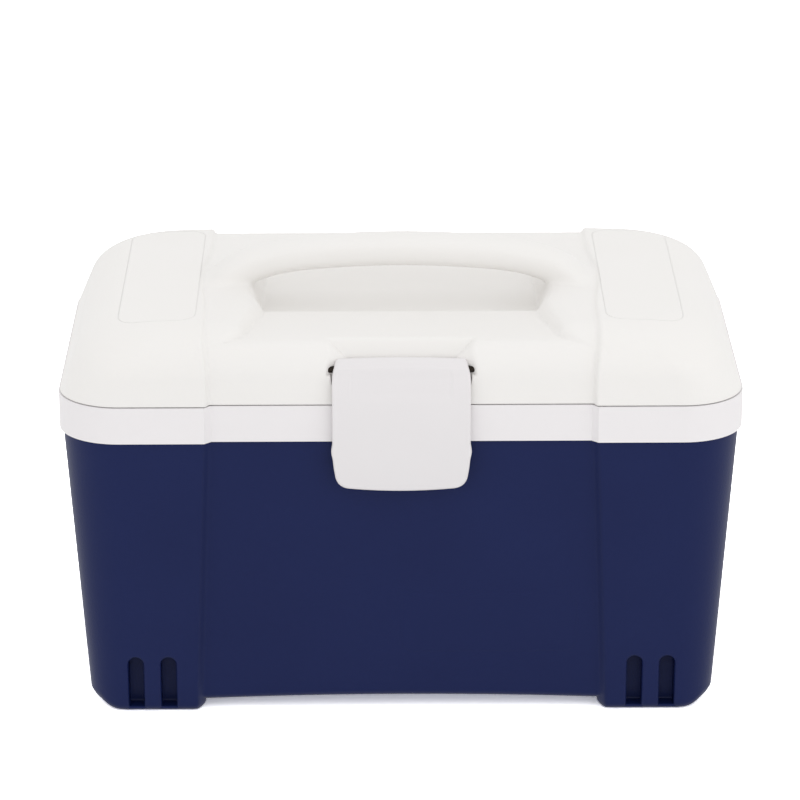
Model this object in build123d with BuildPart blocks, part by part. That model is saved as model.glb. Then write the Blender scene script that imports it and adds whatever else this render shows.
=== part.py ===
from build123d import *
import os
from math import atan, cos, degrees, radians, sin, tan

# A hard insulated carrier for vaccines. Millimetres, +Z up, the latch side faces -Y.
# The origin is on the ground under the middle of the carrier.

# Rim of the body, which is the widest part
rim_width = 360.0
rim_depth = 212.0
rim_corner = 33.0
rim_height = 177.3
band_height = 19.7
band_overhang = 2.0
skirt_wall = 2.2
flange_wall = 2.5

# Outer shell
body_angle = 4.1
shell_wall = 2.5
base_round = 6.0
recess_depth = 3.5
recess_half_width = 99.0
recess_angle = 2.4
recess_reach = 10.5
ramp_angle = 45.0
foot_height = 5.0
foot_round = 4.5
arch_rise = 2.0
arch_half_width = 92.0
slot_width = 7.5
slot_height = 30.0
slot_depth = 8.0
slot_pitch = 17.0
slot_offset = 132.5

# Tub inside the body
foam_thickness = 18.0
tub_wall = 2.5
tub_floor = 27.0
tub_corner = 26.0

# Lid
seam_gap = 0.6
lid_height = 39.0
lid_setback = 0.3
lid_side_angle = 22.0
lid_end_angle = 4.0
lid_top_corner = 48.0
lid_round = 26.0
lid_wall = 3.0
ledge_height = 30.5
ledge_depth = 8.0
ledge_round = 5.0
ridge_drop = 0.5
ridge_offset = 69.0
well_depth = 17.0
well_half = 24.0
grip_half = 73.5
pillar_round = 25.0
pillar_setback = 0.5
pillar_drop = 2.0
flank_angle = 40.0
flank_sink = 2.0

# Carrying handle
handle_depth = 24.0
handle_thickness = 17.0
handle_rise = 14.1
handle_flat_half = 50.0
handle_flat_drop = 2.6
handle_end_half = 102.0
handle_end_drop = 22.5

# Lid liner, gasket and vial pad
liner_wall = 2.6
plug_depth = 9.5
plug_gap = 2.0
gasket_width = 6.0
gasket_height = 2.6
gasket_groove = 1.8
seat_gap = 0.3
pad_length = 226.0
pad_width = 80.0
pad_thickness = 10.0
pad_rib = 2.0
pad_rib_height = 6.0

# Latch
latch_width = 72.0
latch_wall = 2.6
latch_depth = 5.4
latch_drop = 45.5
latch_bend_drop = 25.7
latch_tuck = 1.0
latch_corner = 4.0
latch_side_gap = 2.5
latch_root_angle = 20.0
latch_tip_angle = 6.0
latch_web = 4.4
latch_back_drop = 8.2
pin_radius = 1.75
pin_setback = 5.0
pin_rise = 18.2
pin_inset = 2.6
barrel_radius = 6.3
running_gap = 0.05
pocket_gap = 0.8
pocket_rise = 11.3
hook_height = 3.2
hook_drop = 27.3
hook_gap = 0.5
hook_overhang = 0.8

# Hinges at the back
hinge_offset = 62.0
hinge_width = 40.0
knuckle_radius = 3.2
knuckle_length = 15.0
knuckle_gap = 0.3
hinge_pin_radius = 1.25
leaf_wall = 2.4
leaf_height = 17.0
leaf_gap = 0.3
screw_radius = 1.5
screw_head = 2.9
screw_head_height = 1.4
screw_length = 7.5
screw_spacing = 24.0

# Coolant packs
pack_thickness = 26.0
pack_height = 110.0
pack_corner = 12.0
pack_round = 5.0
pack_gap = 0.8
pack_spacing = 2.5
pack_side_clear = 1.23
pack_end_clear = 10.73
neck_radius = 9.0
neck_height = 6.0
neck_inset = 18.0
cap_radius = 11.5
cap_wall = 2.0
cap_gap = 0.2
cap_ribs = 16
rib_radius = 0.6

# Levels and faces that follow from the sizes above
band_bottom = rim_height - band_height
flange_bottom = rim_height - flange_wall
lid_bottom = rim_height + seam_gap
lid_top = lid_bottom + lid_height
ledge_top = lid_bottom + ledge_height
wall_face = rim_depth / 2 - recess_depth
hinge_y = wall_face + knuckle_radius + leaf_gap
hinge_z = rim_height + seam_gap / 2
latch_reach = hinge_y + knuckle_radius
latch_bottom = rim_height - latch_drop
latch_bend = rim_height - latch_bend_drop
hook_level = rim_height - hook_drop
pin_y = pin_setback - wall_face
pin_height = rim_height + pin_rise
pocket_floor = rim_height + pocket_rise
wall_stack = band_overhang + shell_wall + foam_thickness + tub_wall
tub_half_x = rim_width / 2 - wall_stack
tub_half_y = wall_face - wall_stack
foam_clear = 0.15
ramp_shift = tan(radians(ramp_angle / 2))
far = rim_width
tolerance = 0.1

os.makedirs("parts", exist_ok=True)


def save(piece, name):
    """Label a finished piece and write it as its own file."""
    piece.part.label = name
    export_step(piece.part, f"parts/{name}.step")


def slope(draft, rise):
    """Sideways shift of a drafted wall over a rise."""
    return rise * tan(radians(draft))


def wall_plane(face_y, level, draft, side):
    """Plane on a drafted front (-1) or back (1) wall, facing outwards.

    face_y is the wall's distance from the middle at the given level. A positive draft
    widens the wall upwards.
    """
    lean = radians(draft)
    return Plane(
        origin=(0, side * face_y, level),
        x_dir=(-side, 0, 0),
        z_dir=(0, side * cos(lean), -sin(lean)),
    )


def recess_cutter(face_y, level, half_width, spread, draft, side, top, bottom):
    """Wedge in front of one drafted wall: its floor lies on the wall, its sides are ramps.

    The strip widens downwards by spread degrees.
    """
    upper = (top - level) / cos(radians(draft))
    lower = (bottom - level) / cos(radians(draft))
    with BuildPart() as cutter:
        with BuildSketch(wall_plane(face_y, level, draft, side)):
            Polygon(
                (-half_width + slope(spread, upper), upper),
                (-half_width + slope(spread, lower), lower),
                (half_width - slope(spread, lower), lower),
                (half_width - slope(spread, upper), upper),
                align=None,
            )
        extrude(amount=recess_reach, taper=-ramp_angle)
    return cutter.part


def body_form(inset, low, bottom_round):
    """Tapered body below the band with its recessed front and back, drawn in by inset."""
    with BuildPart() as form:
        for level in (low, band_bottom):
            draw_in = band_overhang + inset + slope(body_angle, band_bottom - level)
            with BuildSketch(Plane.XY.offset(level)):
                RectangleRounded(
                    rim_width - 2 * draw_in, rim_depth - 2 * draw_in, rim_corner - draw_in
                )
        loft(ruled=True)
        fillet(form.faces().sort_by(Axis.Z)[0].edges(), radius=bottom_round)
        for side in (-1, 1):
            face_y = wall_face - band_overhang - inset
            add(
                recess_cutter(
                    face_y, band_bottom, recess_half_width + inset * ramp_shift, recess_angle,
                    body_angle, side, rim_height, -foot_height,
                ),
                mode=Mode.SUBTRACT,
            )
    return form.part


def rim_form(inset, low, high):
    """Upright block of the rim with the same recesses, drawn in by inset."""
    with BuildPart() as form:
        with BuildSketch(Plane.XY.offset(low)):
            RectangleRounded(rim_width - 2 * inset, rim_depth - 2 * inset, rim_corner - inset)
        extrude(amount=high - low)
        for side in (-1, 1):
            add(
                recess_cutter(
                    wall_face - inset, low, recess_half_width + inset * ramp_shift, 0, 0, side, far, -far
                ),
                mode=Mode.SUBTRACT,
            )
    return form.part


def tub_form(growth, low, high):
    """Drafted inside of the tub, grown outwards by growth."""
    with BuildPart() as form:
        for level in (low, high):
            draw_in = slope(body_angle, rim_height - level) - growth
            with BuildSketch(Plane.XY.offset(level)):
                RectangleRounded(
                    2 * (tub_half_x - draw_in), 2 * (tub_half_y - draw_in), tub_corner - draw_in
                )
        loft(ruled=True)
    return form.part


def foot_slots(growth):
    """Round-topped flutes, two in each foot at the front and the back."""
    foot_face = rim_depth / 2 - band_overhang - slope(body_angle, band_bottom)
    with BuildPart() as slots:
        for side in (-1, 1):
            floor_y = side * (foot_face - slot_depth - growth)
            with BuildSketch(Plane.XZ.offset(-floor_y)):
                with Locations((-slot_offset, 0), (slot_offset, 0)):
                    with GridLocations(slot_pitch, 0, 2, 1):
                        SlotOverall(
                            2 * (slot_height + growth), slot_width + 2 * growth, rotation=90
                        )
            extrude(amount=-side * far)
    return slots.part


def cavity_form(extra):
    """Space between the outer shell and the tub that the foam fills."""
    inset = shell_wall + extra
    neck_inset_total = skirt_wall + seat_gap + inset
    with BuildPart() as space:
        add(body_form(inset, inset, base_round - inset))
        add(foot_slots(inset), mode=Mode.SUBTRACT)
        add(rim_form(neck_inset_total, band_bottom, flange_bottom - seat_gap))
        with BuildSketch(Plane.XY):
            Rectangle(2 * (recess_half_width + 2 * recess_depth), rim_depth)
        extrude(amount=foot_height + arch_rise + inset, mode=Mode.SUBTRACT)
    return space.part


def latch_pin_form():
    """Straight pin across the latch pocket, with its ends in the lid."""
    length = latch_width + 2 * (latch_side_gap + pin_inset)
    with BuildPart() as pin:
        with BuildSketch(Plane.YZ.offset(-length / 2)):
            with Locations((pin_y, pin_height)):
                Circle(pin_radius)
        extrude(amount=length)
    return pin.part


def hinge_wall(direction, rise):
    """Plane at a height above the back wall that one row of leaves lies on.

    The lid's leaves (1) lie on its drafted wall, the body's leaves (-1) on the rim.
    """
    if direction > 0:
        return wall_plane(wall_face - lid_setback, lid_bottom, -lid_end_angle, 1).offset(rise)
    return wall_plane(wall_face, rim_height, 0, 1).offset(rise)


def screw_places(direction):
    """Screw positions of both hinges, above (1) or below (-1) the hinge axis."""
    level = direction * (leaf_height - screw_head - leaf_wall / 2)
    return [
        (side * hinge_offset + shift, level)
        for side in (-1, 1)
        for shift in (-screw_spacing / 2, screw_spacing / 2)
    ]


def screw_shanks(direction):
    """Shanks of the hinge screws, which also cut their own holes."""
    with BuildPart() as shanks:
        with BuildSketch(hinge_wall(direction, leaf_wall)):
            with Locations(*screw_places(direction)):
                Circle(screw_radius)
        extrude(amount=-screw_length)
    return shanks.part


def screw_group(direction):
    """Countersunk screws that hold one row of hinge leaves."""
    lean = degrees(atan((screw_head - screw_radius) / screw_head_height))
    with BuildPart() as screws:
        add(screw_shanks(direction))
        with BuildSketch(hinge_wall(direction, leaf_wall)):
            with Locations(*screw_places(direction)):
                Circle(screw_head)
        extrude(amount=-screw_head_height, taper=lean)
    return screws.part


# Outer shell: tapered box with four pilasters that end in fluted feet
with BuildPart() as outer_shell:
    add(body_form(0, 0, base_round))
    add(rim_form(skirt_wall + seat_gap, band_bottom, flange_bottom - seat_gap))
    with BuildSketch(Plane.XZ.offset(-far / 2)):
        RectangleRounded(
            2 * (recess_half_width + slope(recess_angle, band_bottom)),
            2 * foot_height, foot_round,
        )
        with BuildLine():
            ThreePointArc(
                (-arch_half_width, foot_height), (0, foot_height + arch_rise),
                (arch_half_width, foot_height),
            )
            Line((arch_half_width, foot_height), (-arch_half_width, foot_height))
        make_face()
    extrude(amount=far, mode=Mode.SUBTRACT)
    add(foot_slots(0), mode=Mode.SUBTRACT)
    add(cavity_form(0), mode=Mode.SUBTRACT)
    add(screw_shanks(-1), mode=Mode.SUBTRACT)
save(outer_shell, "outer_shell")

# Tub with its flange and the skirt that shows as the white band
with BuildPart() as inner_liner:
    add(rim_form(0, band_bottom, rim_height))
    add(rim_form(skirt_wall, band_bottom, flange_bottom), mode=Mode.SUBTRACT)
    add(tub_form(tub_wall, tub_floor - tub_wall, flange_bottom))
    add(tub_form(0, tub_floor, rim_height), mode=Mode.SUBTRACT)
    add(screw_shanks(-1), mode=Mode.SUBTRACT)
save(inner_liner, "inner_liner")

with BuildPart() as body_foam:
    add(cavity_form(foam_clear))
    add(tub_form(tub_wall + foam_clear, tub_floor - tub_wall - foam_clear, rim_height),
        mode=Mode.SUBTRACT)
    add(screw_shanks(-1), mode=Mode.SUBTRACT)
save(body_foam, "body_foam")


def lid_block(inset):
    """Whole lid as one pillow: drafted walls and a large round all along its top."""
    top = lid_top - inset
    with BuildPart() as block:
        for level, corner in ((lid_bottom, rim_corner), (top, lid_top_corner)):
            draw_in = 2 * (lid_setback + inset)
            rise = level - lid_bottom
            with BuildSketch(Plane.XY.offset(level)):
                RectangleRounded(
                    rim_width - draw_in - 2 * slope(lid_side_angle, rise),
                    rim_depth - draw_in - 2 * slope(lid_end_angle, rise),
                    corner - lid_setback - inset,
                )
        loft(ruled=True)
        fillet(block.faces().sort_by(Axis.Z)[-1].edges(), radius=lid_round - inset)
    return block.part


def middle_strip(inset):
    """Space above the deck between the shoulders, with the two leaning pillars left in."""
    half = recess_half_width + inset
    pillar_y = wall_face - pillar_setback - inset
    pillar_x = recess_half_width - grip_half - inset
    flank_base = lid_top - well_depth - flank_sink - inset
    crown = lid_top - pillar_drop - inset
    with BuildPart() as strip:
        with BuildSketch(Plane.XY.offset(lid_bottom)):
            Rectangle(2 * half, far)
        extrude(amount=2 * lid_height)
        for level, top, lean in (
            (lid_bottom, flank_base, 0), (flank_base, crown, flank_angle),
        ):
            with BuildSketch(Plane.XY.offset(level)):
                with Locations((-half, 0), (half, 0)):
                    RectangleRounded(2 * (pillar_x + inset), 2 * pillar_y, pillar_round)
            extrude(amount=top - level, taper=lean, mode=Mode.SUBTRACT)
    return strip.part


def deck_core(inset, half_width):
    """Middle of the lid: front wall, ledge, ridge, finger well and the same again behind."""
    low_y = wall_face - lid_setback - inset
    high_y = low_y - slope(lid_end_angle, ledge_height)
    ledge_z = ledge_top - inset
    inner_y = high_y - ledge_depth
    ridge_z = lid_top - ridge_drop - inset
    well_z = lid_top - well_depth - inset
    with BuildPart() as core:
        with BuildSketch(Plane.YZ.offset(-half_width)) as profile:
            with BuildLine():
                Polyline((inner_y, ledge_z), (high_y, ledge_z), (low_y, lid_bottom),
                         (-low_y, lid_bottom), (-high_y, ledge_z), (-inner_y, ledge_z))
                bends = [
                    (-inner_y, ledge_z), (-ridge_offset, ridge_z), (-well_half, well_z),
                    (well_half, well_z), (ridge_offset, ridge_z), (inner_y, ledge_z),
                ]
                for start, end in zip(bends, bends[1:]):
                    Spline(start, end, tangents=((1, 0), (1, 0)))
            make_face()
            corners = [
                v for v in profile.vertices()
                if abs(abs(v.X) - high_y) < tolerance and abs(v.Y - ledge_z) < tolerance
            ]
            fillet(corners, radius=ledge_round - inset)
        extrude(amount=2 * half_width)
    return core.part


def latch_pocket(growth):
    """Recess for the latch barrel, open to the front and through the ledge."""
    half = latch_width / 2 + latch_side_gap + growth
    back_y = -pin_y - barrel_radius - pocket_gap - growth
    with BuildPart() as pocket:
        with BuildSketch(Plane.XY.offset(pocket_floor - growth)):
            with Locations((0, -(back_y + far / 2))):
                Rectangle(2 * half, far)
        extrude(amount=lid_height)
    return pocket.part


# Lid shell: shoulders, recessed deck, pillars and the moulded-in handle
with BuildPart() as lid_shell:
    add(lid_block(0))
    add(middle_strip(0), mode=Mode.SUBTRACT)
    add(deck_core(0, recess_half_width + ledge_round))
    # handle: an arch of three tangent arcs with an oval section
    with BuildLine(Plane.XZ) as arch:
        crest = lid_top + handle_rise
        flat = ThreePointArc(
            (-handle_flat_half, crest - handle_flat_drop),
            (0, crest),
            (handle_flat_half, crest - handle_flat_drop),
        )
        right_end = TangentArc(
            (handle_flat_half, crest - handle_flat_drop),
            (handle_end_half, crest - handle_end_drop),
            tangent=flat % 1,
        )
        mirror(right_end, about=Plane.YZ)
    with BuildSketch(Plane(arch.wires()[0] @ 0, z_dir=arch.wires()[0] % 0, x_dir=(0, 1, 0))):
        Ellipse(handle_depth / 2, handle_thickness / 2)
    sweep(path=arch.wires()[0])
    with BuildPart(mode=Mode.PRIVATE) as hollow:
        add(lid_block(lid_wall))
        add(middle_strip(lid_wall), mode=Mode.SUBTRACT)
        add(deck_core(lid_wall, recess_half_width + ledge_round))
        add(latch_pocket(lid_wall), mode=Mode.SUBTRACT)
    add(hollow.part, mode=Mode.SUBTRACT)
    add(latch_pocket(0), mode=Mode.SUBTRACT)
    add(latch_pin_form(), mode=Mode.SUBTRACT)
    add(screw_shanks(1), mode=Mode.SUBTRACT)
save(lid_shell, "lid_shell")


# Lid liner: plate that closes the lid, with a plug that drops into the tub
liner_low = lid_bottom + gasket_height - gasket_groove
liner_high = liner_low + liner_wall
plug_low = rim_height - plug_depth
plug_half_x = tub_half_x - plug_gap
plug_half_y = tub_half_y - plug_gap


def plug_form(inset, low, high):
    """Drafted plug under the lid, drawn in by inset."""
    with BuildPart() as plug:
        for level in (low, high):
            draw_in = inset + slope(body_angle, liner_high - level)
            with BuildSketch(Plane.XY.offset(level)):
                RectangleRounded(
                    2 * (plug_half_x - draw_in), 2 * (plug_half_y - draw_in), tub_corner - draw_in
                )
        loft(ruled=True)
    return plug.part


def lid_inside(extra, low, high):
    """Slab of the lid's hollow between two levels."""
    with BuildPart() as inside:
        add(lid_block(lid_wall + extra))
        add(middle_strip(lid_wall + extra), mode=Mode.SUBTRACT)
        add(deck_core(lid_wall + extra, recess_half_width + ledge_round))
        add(latch_pocket(lid_wall + extra), mode=Mode.SUBTRACT)
        with BuildSketch(Plane.XY.offset(low)):
            Rectangle(far, far)
        extrude(amount=high - low, mode=Mode.INTERSECT)
    return inside.part


with BuildPart() as lid_liner:
    add(lid_inside(seat_gap, liner_low, liner_high))
    add(plug_form(0, plug_low, liner_high))
    add(plug_form(liner_wall, plug_low + liner_wall, liner_high + liner_wall), mode=Mode.SUBTRACT)
    # gasket groove round the plug
    with BuildSketch(Plane.XY.offset(liner_low)):
        for grow, mode in ((gasket_width, Mode.ADD), (0, Mode.SUBTRACT)):
            RectangleRounded(
                2 * (plug_half_x + plug_gap + grow), 2 * (plug_half_y + plug_gap + grow),
                tub_corner + grow, mode=mode,
            )
    extrude(amount=gasket_groove, mode=Mode.SUBTRACT)
    # rib that grips the vial pad
    with BuildSketch(Plane.XY.offset(plug_low - pad_rib_height)):
        Rectangle(pad_length + 2 * (seat_gap + pad_rib), pad_width + 2 * (seat_gap + pad_rib))
        Rectangle(pad_length + 2 * seat_gap, pad_width + 2 * seat_gap, mode=Mode.SUBTRACT)
    extrude(amount=pad_rib_height)
    add(screw_shanks(1), mode=Mode.SUBTRACT)
save(lid_liner, "lid_liner")

with BuildPart() as lid_foam:
    add(lid_inside(seat_gap, liner_high + foam_clear, lid_top))
    add(plug_form(liner_wall + foam_clear, plug_low + liner_wall + foam_clear,
                  liner_high + foam_clear))
    add(screw_shanks(1), mode=Mode.SUBTRACT)
save(lid_foam, "lid_foam")

with BuildPart() as lid_gasket:
    with BuildSketch(Plane.XY.offset(rim_height + seat_gap)):
        for grow, mode in ((gasket_width - seat_gap, Mode.ADD), (seat_gap, Mode.SUBTRACT)):
            RectangleRounded(
                2 * (plug_half_x + plug_gap + grow), 2 * (plug_half_y + plug_gap + grow),
                tub_corner + grow, mode=mode,
            )
    extrude(amount=liner_low + gasket_groove - rim_height - seat_gap)
save(lid_gasket, "lid_gasket")

# Sponge pad under the lid; opened vials are pushed into its slits
with BuildPart() as vial_pad:
    with BuildSketch(Plane.XY.offset(plug_low - seat_gap - pad_thickness)):
        RectangleRounded(pad_length, pad_width, pad_rib)
    extrude(amount=pad_thickness)
save(vial_pad, "vial_pad")

# Latch: dished plate that hangs on its pin in front of the rim
latch_face = -latch_reach
latch_back = latch_face + latch_depth
latch_top = pin_height + barrel_radius
root_angle = radians(latch_root_angle)
latch_root = (
    pin_y - barrel_radius * cos(root_angle),
    pin_height + barrel_radius * sin(root_angle),
)


def latch_side(inset):
    """Front face of the latch seen from the side, set back by inset."""
    Spline(
        (latch_root[0] + inset, latch_root[1]), (latch_face + inset, latch_bend),
        tangents=((-sin(root_angle), -cos(root_angle)), (0, -1)),
    )


with BuildPart() as latch:
    with BuildSketch(Plane.YZ.offset(-latch_width / 2)):
        with BuildLine():
            outer_tip = (latch_face + latch_tuck, latch_bottom)
            inner_tip = (latch_face + latch_tuck + latch_wall, latch_bottom)
            latch_side(0)
            Spline(
                (latch_face, latch_bend), outer_tip,
                tangents=((0, -1), (tan(radians(latch_tip_angle)), -1)),
            )
            Line(outer_tip, inner_tip)
            Spline(
                inner_tip, (latch_face + latch_wall, latch_bend),
                tangents=((-tan(radians(latch_tip_angle)), 1), (0, 1)),
            )
            Polyline(
                (latch_face + latch_wall, latch_bend), (latch_back, latch_bend),
                (latch_back, pin_height - latch_back_drop),
                (pin_y - latch_web, pin_height - latch_web),
                (pin_y, pin_height - latch_web),
                (pin_y, latch_root[1]),
                latch_root,
            )
        make_face()
        with Locations((pin_y, pin_height)):
            Circle(barrel_radius)
    extrude(amount=latch_width)
    # dish in the back, leaving a wall at both sides
    dish_half = latch_width / 2 - latch_wall
    dish_top = pin_height - barrel_radius - latch_wall
    with BuildSketch(Plane.YZ.offset(-dish_half)) as dish:
        with BuildLine():
            latch_side(latch_wall)
            Polyline(
                (latch_face + latch_wall, latch_bend), (pin_y, latch_bend),
                (pin_y, latch_root[1]), (latch_root[0] + latch_wall, latch_root[1]),
            )
        make_face()
        with Locations((pin_y, (hook_level + hook_height + dish_top) / 2)):
            Rectangle(far, dish_top - hook_level - hook_height, mode=Mode.INTERSECT)
    extrude(amount=2 * dish_half, mode=Mode.SUBTRACT)
    # hook rib across the back
    rib_tip = wall_face + hook_gap
    with BuildSketch(Plane.XY.offset(hook_level)):
        with Locations((0, -(rib_tip + latch_reach - latch_wall) / 2)):
            Rectangle(latch_width, latch_reach - latch_wall - rib_tip)
    extrude(amount=hook_height)
    # outline seen from the front
    half = latch_width / 2
    shoulder = latch_top - 2 * latch_corner
    waist = latch_bend - latch_corner
    heel = latch_bottom + latch_corner / 2
    with BuildSketch(Plane.XZ.offset(far / 2)):
        with BuildLine():
            Polyline(
                (-half + latch_wall, heel), (-half, waist), (-half, shoulder),
                (-half + latch_wall, latch_top), (half - latch_wall, latch_top),
                (half, shoulder), (half, waist), (half - latch_wall, heel),
            )
            ThreePointArc((half - latch_wall, heel), (0, latch_bottom), (-half + latch_wall, heel))
        make_face()
    extrude(amount=-far / 2, mode=Mode.INTERSECT)
    # the rib's ends stand out at both edges
    with BuildSketch(Plane.XY.offset(hook_level)):
        with Locations((0, latch_face + (latch_wall + latch_depth) / 2)):
            Rectangle(latch_width + 2 * hook_overhang, latch_depth - latch_wall)
    extrude(amount=hook_height)
    with BuildSketch(Plane.YZ.offset(-latch_width / 2)):
        with Locations((pin_y, pin_height)):
            Circle(pin_radius + running_gap)
    extrude(amount=latch_width, mode=Mode.SUBTRACT)
save(latch, "latch")

with BuildPart() as latch_pin:
    add(latch_pin_form())
save(latch_pin, "latch_pin")

# Hinges: a body leaf with two knuckles, a lid leaf with one between them, and a pin
screws_below = screw_group(-1)
screws_above = screw_group(1)


def hinge_leaf(side, direction, spans, other_spans, bore, screws):
    """One leaf of a hinge: plate on the back wall, its knuckles and its screw holes."""
    with BuildPart() as leaf:
        with BuildSketch(hinge_wall(direction, 0)):
            with Locations((-side * hinge_offset, direction * leaf_height / 2)):
                RectangleRounded(hinge_width, leaf_height, leaf_wall - knuckle_gap)
        extrude(amount=leaf_wall)
        # the other leaf's knuckles turn in notches of this one
        for low, high in other_spans:
            with BuildSketch(Plane.YZ.offset(side * hinge_offset + low - knuckle_gap)):
                with Locations((hinge_y, hinge_z)):
                    Circle(knuckle_radius + knuckle_gap)
            extrude(amount=high - low + 2 * knuckle_gap, mode=Mode.SUBTRACT)
        for low, high in spans:
            with BuildSketch(Plane.YZ.offset(side * hinge_offset + low)):
                with Locations((hinge_y, hinge_z)):
                    Circle(knuckle_radius)
            extrude(amount=high - low)
        with BuildSketch(Plane.YZ.offset(side * hinge_offset - hinge_width / 2)):
            with Locations((hinge_y, hinge_z)):
                Circle(bore)
        extrude(amount=hinge_width, mode=Mode.SUBTRACT)
        add(screws, mode=Mode.SUBTRACT)
    return leaf


middle_span = [(-knuckle_length / 2, knuckle_length / 2)]
outer_spans = [
    (-hinge_width / 2, -knuckle_length / 2 - knuckle_gap),
    (knuckle_length / 2 + knuckle_gap, hinge_width / 2),
]
for side, word in ((-1, "left"), (1, "right")):
    body_leaf = hinge_leaf(side, -1, outer_spans, middle_span, hinge_pin_radius, screws_below)
    save(body_leaf, f"hinge_body_leaf_{word}")
    lid_leaf = hinge_leaf(
        side, 1, middle_span, outer_spans, hinge_pin_radius + running_gap, screws_above
    )
    save(lid_leaf, f"hinge_lid_leaf_{word}")
    with BuildPart() as hinge_pin:
        with BuildSketch(Plane.YZ.offset(side * hinge_offset - hinge_width / 2)):
            with Locations((hinge_y, hinge_z)):
                Circle(hinge_pin_radius)
        extrude(amount=hinge_width)
    save(hinge_pin, f"hinge_pin_{word}")

with BuildPart() as hinge_body_screws:
    add(screws_below)
save(hinge_body_screws, "hinge_body_screws")

with BuildPart() as hinge_lid_screws:
    add(screws_above)
save(hinge_lid_screws, "hinge_lid_screws")

# Coolant packs with screw caps: two along the front, two along the back, one at each end
floor_half_x = tub_half_x - slope(body_angle, rim_height - tub_floor)
floor_half_y = tub_half_y - slope(body_angle, rim_height - tub_floor)
end_x = floor_half_x - pack_spacing - pack_thickness / 2
row_length = end_x - pack_thickness / 2 - pack_side_clear - pack_spacing
end_length = 2 * (floor_half_y - pack_end_clear)
row_y = floor_half_y - pack_gap - pack_thickness / 2
row_x = pack_spacing + row_length / 2
pack_places = {
    "front_left": (-row_x, -row_y, 0, row_length),
    "front_right": (row_x, -row_y, 0, row_length),
    "back_left": (-row_x, row_y, 0, row_length),
    "back_right": (row_x, row_y, 0, row_length),
    "left": (-end_x, 0, 90, end_length),
    "right": (end_x, 0, 90, end_length),
}
pack_low = tub_floor + seat_gap

for word, (x, y, turn, pack_length) in pack_places.items():
    neck_x = pack_length / 2 - neck_inset
    ground = Plane(origin=(x, y, pack_low), z_dir=(0, 0, 1)).rotated((0, 0, turn))
    with BuildPart() as ice_pack:
        with BuildSketch(ground):
            RectangleRounded(pack_length, pack_thickness, pack_corner)
        extrude(amount=pack_height)
        fillet(ice_pack.faces().filter_by(Axis.Z).edges(), radius=pack_round)
        with BuildSketch(ground.offset(pack_height)):
            with Locations((neck_x, 0)):
                Circle(neck_radius)
        extrude(amount=neck_height)
    save(ice_pack, f"ice_pack_{word}")
    cap_low = pack_height + seat_gap
    with BuildPart() as cap:
        with BuildSketch(ground.offset(cap_low)):
            with Locations((neck_x, 0)):
                Circle(cap_radius)
                with PolarLocations(cap_radius, cap_ribs):
                    Circle(rib_radius)
        extrude(amount=neck_height + cap_wall)
        with BuildSketch(ground.offset(cap_low)):
            with Locations((neck_x, 0)):
                Circle(neck_radius + cap_gap)
        extrude(amount=neck_height, mode=Mode.SUBTRACT)
    save(cap, f"ice_pack_cap_{word}")
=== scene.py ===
import bmesh
import bpy
import math
import numpy as np
from mathutils import Matrix, Quaternion, Vector


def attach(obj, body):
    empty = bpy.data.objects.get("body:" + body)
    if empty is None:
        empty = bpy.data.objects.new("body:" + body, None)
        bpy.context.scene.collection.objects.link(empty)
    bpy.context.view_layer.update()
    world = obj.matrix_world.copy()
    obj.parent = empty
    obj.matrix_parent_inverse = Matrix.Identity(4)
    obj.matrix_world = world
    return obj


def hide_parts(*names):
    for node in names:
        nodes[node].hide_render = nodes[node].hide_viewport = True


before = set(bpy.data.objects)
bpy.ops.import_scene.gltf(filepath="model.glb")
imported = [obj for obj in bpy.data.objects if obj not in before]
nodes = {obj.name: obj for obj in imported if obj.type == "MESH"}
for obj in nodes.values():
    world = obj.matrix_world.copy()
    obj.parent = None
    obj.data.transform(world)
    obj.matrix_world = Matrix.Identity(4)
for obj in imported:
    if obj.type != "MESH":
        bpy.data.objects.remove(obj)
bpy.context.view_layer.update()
mm = 0.001
print("frame loaded:", len(nodes), "nodes")

cameraLook = {
    "target": (0.0, -106.0, 181.6),   # mm, where the lens axis meets the rim's front
    "distance": 2072.0,               # mm
    "elevation": 19.5,                # degrees
    "yaw": 0.4,
    "roll": 0.08,
    "lens": 180.0,                    # mm on a 36 mm sensor
}


def makeCamera(look):
    lift, turn = math.radians(look["elevation"]), math.radians(-look["yaw"])
    ahead = Matrix.Rotation(turn, 3, "Z") @ Vector((0, math.cos(lift), -math.sin(lift)))
    target = Matrix.Rotation(turn, 3, "Z") @ Vector(look["target"]) * mm
    data = bpy.data.cameras.new("camera")
    data.lens, data.sensor_width = look["lens"], 36.0
    data.clip_start, data.clip_end = 0.1, 50.0
    camera = bpy.data.objects.new("camera", data)
    camera.location = target - ahead * look["distance"] * mm
    camera.rotation_mode = "QUATERNION"
    roll = Quaternion(ahead, math.radians(look["roll"]))
    camera.rotation_quaternion = roll @ ahead.to_track_quat("-Z", "Y")
    bpy.context.scene.collection.objects.link(camera)
    bpy.context.scene.camera = camera


makeCamera(cameraLook)


def hexToLinear(code):
    # sRGB hex to linear: value/12.92 below 0.04045, else ((value + 0.055)/1.055) to the power 2.4
    parts = np.array([int(code[i:i + 2], 16) / 255 for i in (1, 3, 5)])
    low, high = parts / 12.92, ((parts + 0.055) / 1.055) ** 2.4
    return (*np.where(parts <= 0.04045, low, high).tolist(), 1.0)


def addNode(tree, kind, settings=None, links=None):
    # one node with its own settings, socket values, and links given as input: (node, output)
    node = tree.nodes.new(kind)
    for key, value in (settings or {}).items():
        if isinstance(key, int) or key in node.inputs:
            node.inputs[key].default_value = value
        else:
            setattr(node, key, value)
    for key, (other, output) in (links or {}).items():
        tree.links.new(other.outputs[output], node.inputs[key])
    return node


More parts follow.
